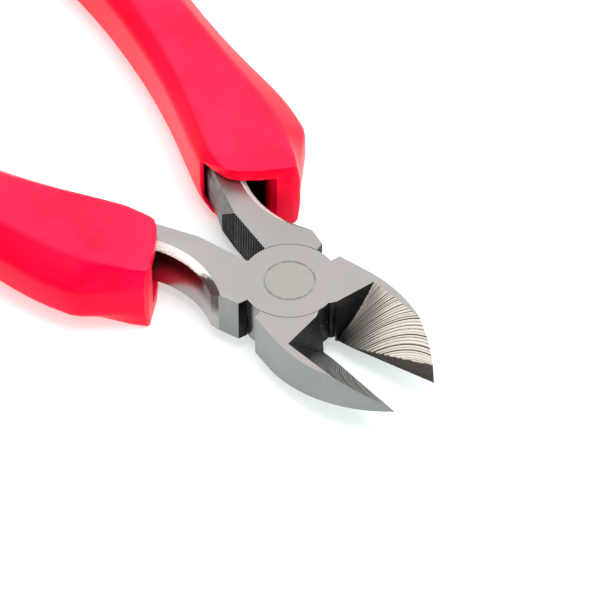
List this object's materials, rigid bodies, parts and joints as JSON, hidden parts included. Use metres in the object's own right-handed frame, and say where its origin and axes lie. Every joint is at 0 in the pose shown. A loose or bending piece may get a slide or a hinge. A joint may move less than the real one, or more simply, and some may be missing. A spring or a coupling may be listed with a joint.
{
  "type": "diagonal cutting pliers",
  "caption": "Diagonal cutting pliers with a riveted lap joint, bevelled jaws, toothed necks and faceted red moulded grips with thumb guards.",
  "frame": {"origin": "on the pivot axis, on the back face of the head", "axes": "+X from the pivot towards the jaw tips, +Z along the pivot axis towards the face that shows the milled bevels"},
  "size_m": [0.1784, 0.0924, 0.016],
  "materials": {
    "forged_steel": "satin ground faces with milled jaw bevels",
    "rivet_steel": "flush ground rivet head",
    "grip_plastic": "glossy red moulded grip"
  },
  "bodies": {
    "lower": {"lever_lower": "forged_steel", "grip_lower": "grip_plastic"},
    "upper": {"lever_upper": "forged_steel", "grip_upper": "grip_plastic", "pivot_rivet": "rivet_steel"}
  },
  "joints": [
    {"name": "pivot", "type": "hinge", "parent": "lower", "child": "upper", "pos_m": [0, 0, 0.005], "axis": [0, 0, 1], "range_deg": [-17.2, 21.5]}
  ]
}
